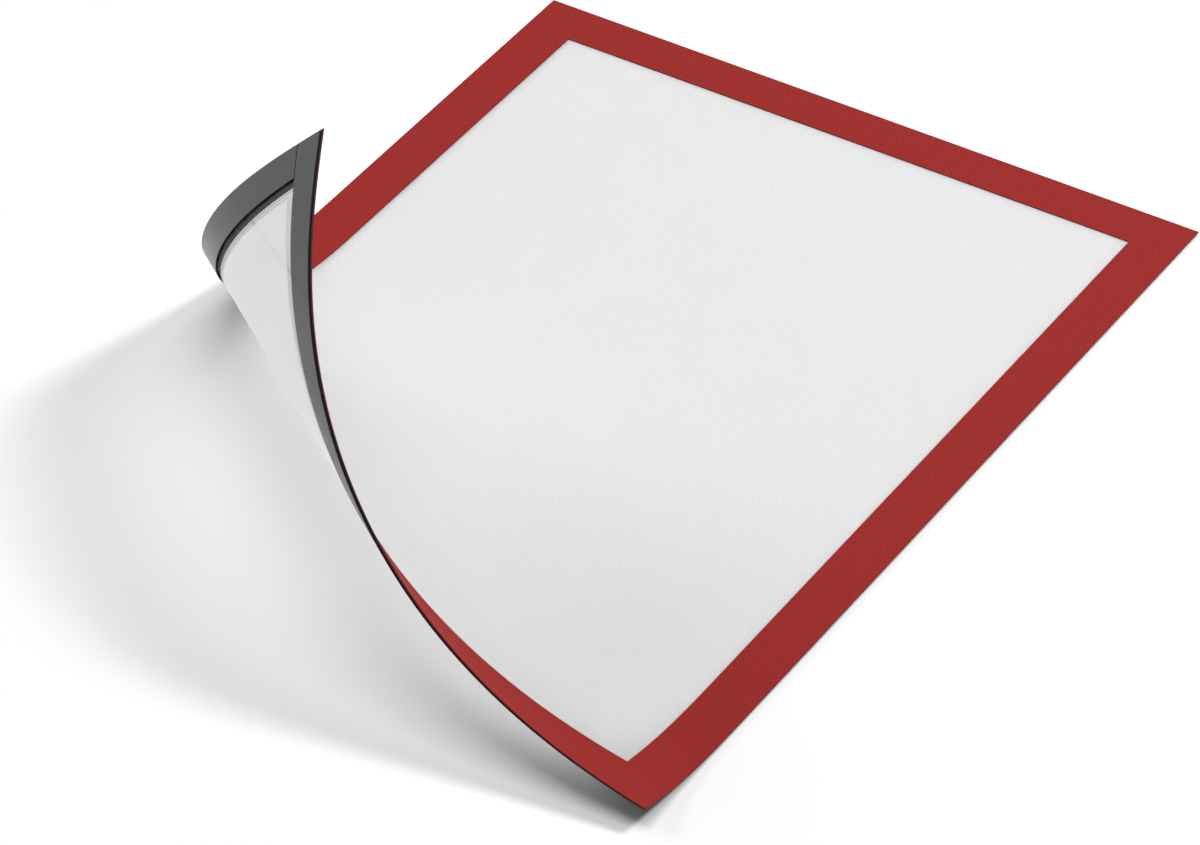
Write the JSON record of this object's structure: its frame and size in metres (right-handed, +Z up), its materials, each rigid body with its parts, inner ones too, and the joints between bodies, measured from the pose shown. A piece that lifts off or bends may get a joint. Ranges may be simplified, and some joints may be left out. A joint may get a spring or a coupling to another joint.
{
  "type": "magnetic display frame",
  "caption": "Flexible A4 magnetic display frame: red border film and clear window film over magnetic strips, with a sheet of paper behind, and a corner curled up that presses flat.",
  "frame": {"origin": "on the surface that the frame lies on, at the centre of the frame's flat outline", "axes": "+X along the short side to the right edge, +Y along the long side to the top edge, +Z up out of the front face; the curled corner is at -X -Y"},
  "size_m": [0.2364, 0.3227, 0.1162],
  "materials": {
    "border_film": "satin",
    "window_film": "satin",
    "magnetic_rubber": "satin",
    "insert_paper": "matte"
  },
  "bodies": {
    "flat_panel": {"front_border": "border_film", "window_film": "window_film", "top_strip": "magnetic_rubber", "right_strip": "magnetic_rubber", "left_strip": "magnetic_rubber", "insert_sheet": "insert_paper"},
    "curl_1": {"border_left_1": "border_film", "border_bottom_1": "border_film", "window_film_1": "window_film", "bottom_strip_1": "magnetic_rubber", "right_strip_1": "magnetic_rubber", "left_strip_1": "magnetic_rubber", "insert_sheet_1": "insert_paper"},
    "curl_2": {"border_left_2": "border_film", "border_bottom_2": "border_film", "window_film_2": "window_film", "bottom_strip_2": "magnetic_rubber", "left_strip_2": "magnetic_rubber", "insert_sheet_2": "insert_paper"},
    "curl_3": {"border_left_3": "border_film", "border_bottom_3": "border_film", "window_film_3": "window_film", "bottom_strip_3": "magnetic_rubber", "left_strip_3": "magnetic_rubber", "insert_sheet_3": "insert_paper"},
    "curl_4": {"border_left_4": "border_film", "border_bottom_4": "border_film", "window_film_4": "window_film", "bottom_strip_4": "magnetic_rubber", "left_strip_4": "magnetic_rubber", "insert_sheet_4": "insert_paper"},
    "curl_5": {"border_left_5": "border_film", "border_bottom_5": "border_film", "window_film_5": "window_film", "bottom_strip_5": "magnetic_rubber", "left_strip_5": "magnetic_rubber", "insert_sheet_5": "insert_paper"},
    "curl_6": {"border_left_6": "border_film", "border_bottom_6": "border_film", "window_film_6": "window_film", "bottom_strip_6": "magnetic_rubber", "left_strip_6": "magnetic_rubber", "insert_sheet_6": "insert_paper"},
    "curl_7": {"border_corner_7": "border_film", "window_film_7": "window_film", "bottom_strip_7": "magnetic_rubber", "left_strip_7": "magnetic_rubber", "insert_sheet_7": "insert_paper"}
  },
  "joints": [
    {"name": "press_flat_1", "type": "hinge", "parent": "flat_panel", "child": "curl_1", "pos_m": [-0.02936, -0.0402, 0.00051], "axis": [0.8463, -0.5326, 0.0007], "range_deg": [-2.2, 11.2]},
    {"name": "press_flat_2", "type": "hinge", "parent": "curl_1", "child": "curl_2", "pos_m": [-0.04084, -0.05587, 0.00485], "axis": [0.8302, -0.5574, 0.0074], "range_deg": [-3.7, 18.7]},
    {"name": "press_flat_3", "type": "hinge", "parent": "curl_2", "child": "curl_3", "pos_m": [-0.05081, -0.06926, 0.01435], "axis": [0.8128, -0.582, 0.0247], "range_deg": [-3.7, 18.7]},
    {"name": "press_flat_4", "type": "hinge", "parent": "curl_3", "child": "curl_4", "pos_m": [-0.05796, -0.07855, 0.02763], "axis": [0.7977, -0.6008, 0.0523], "range_deg": [-3.7, 18.7]},
    {"name": "press_flat_5", "type": "hinge", "parent": "curl_4", "child": "curl_5", "pos_m": [-0.06234, -0.08389, 0.04418], "axis": [0.7857, -0.6119, 0.0908], "range_deg": [-3.7, 18.7]},
    {"name": "press_flat_6", "type": "hinge", "parent": "curl_5", "child": "curl_6", "pos_m": [-0.06342, -0.08473, 0.06389], "axis": [0.779, -0.6108, 0.142], "range_deg": [-3.7, 18.7]},
    {"name": "press_flat_7", "type": "hinge", "parent": "curl_6", "child": "curl_7", "pos_m": [-0.05952, -0.07925, 0.08879], "axis": [0.781, -0.5866, 0.2143], "range_deg": [-3.7, 18.7]}
  ],
  "couplings": [
    {"joint": "press_flat_2", "follows": "press_flat_1", "ratio": 1.6666},
    {"joint": "press_flat_3", "follows": "press_flat_1", "ratio": 1.6666},
    {"joint": "press_flat_4", "follows": "press_flat_1", "ratio": 1.6666},
    {"joint": "press_flat_5", "follows": "press_flat_1", "ratio": 1.6666},
    {"joint": "press_flat_6", "follows": "press_flat_1", "ratio": 1.6666},
    {"joint": "press_flat_7", "follows": "press_flat_1", "ratio": 1.6666}
  ]
}
